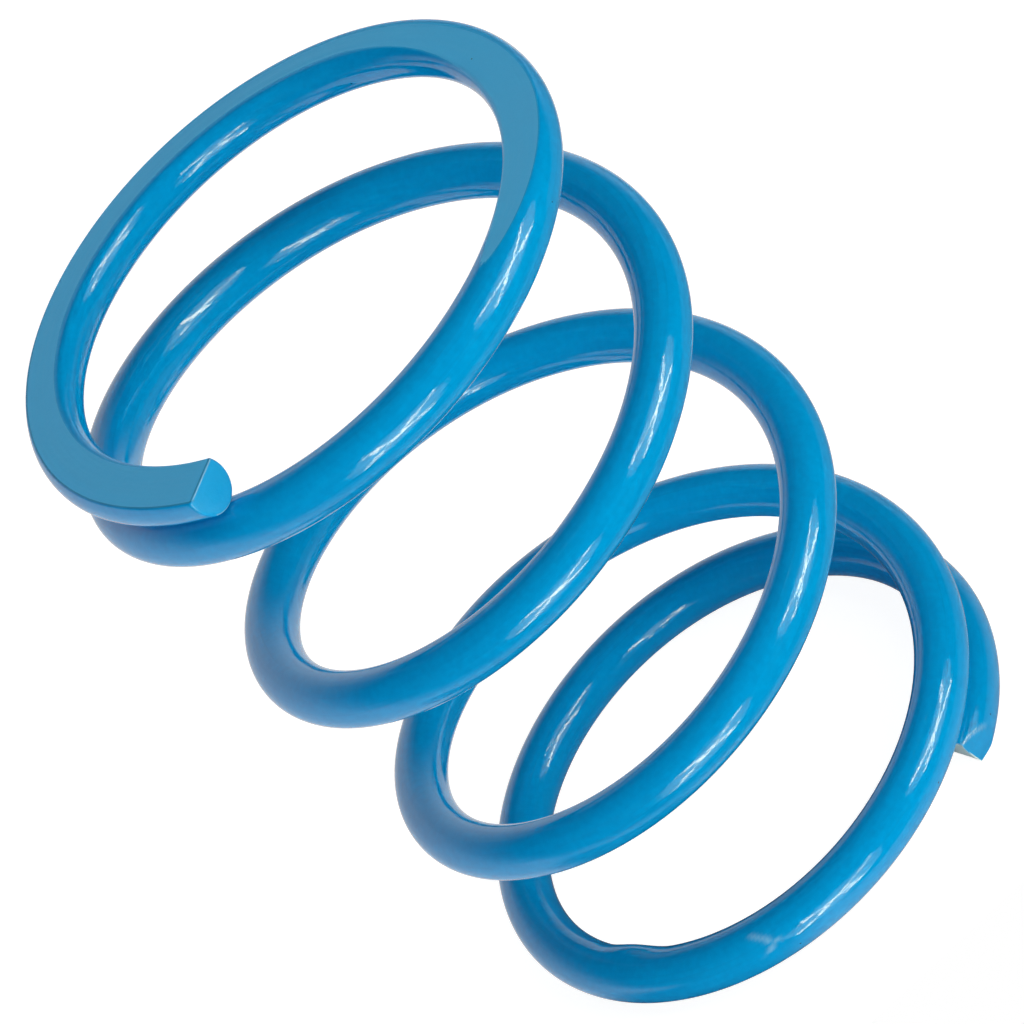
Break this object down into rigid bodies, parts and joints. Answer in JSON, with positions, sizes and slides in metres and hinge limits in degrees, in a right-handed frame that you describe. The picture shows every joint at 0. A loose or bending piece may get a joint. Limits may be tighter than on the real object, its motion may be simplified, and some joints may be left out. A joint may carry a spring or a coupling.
{
  "type": "clutch compression spring",
  "caption": "Helical compression spring of a belt drive clutch: blue painted round wire, coiled right-handed, with closed ends ground flat to seat square between two spring cups.",
  "frame": {"origin": "centre of the coil on the plane of the lower ground end", "axes": "+Z along the coil's axis, from the lower ground end to the upper one"},
  "size_m": [0.06, 0.06, 0.0865],
  "materials": {
    "blue_paint": "gloss clear-coated blue"
  },
  "bodies": {
    "root": {"clutch_spring": "blue_paint"}
  },
  "joints": []
}
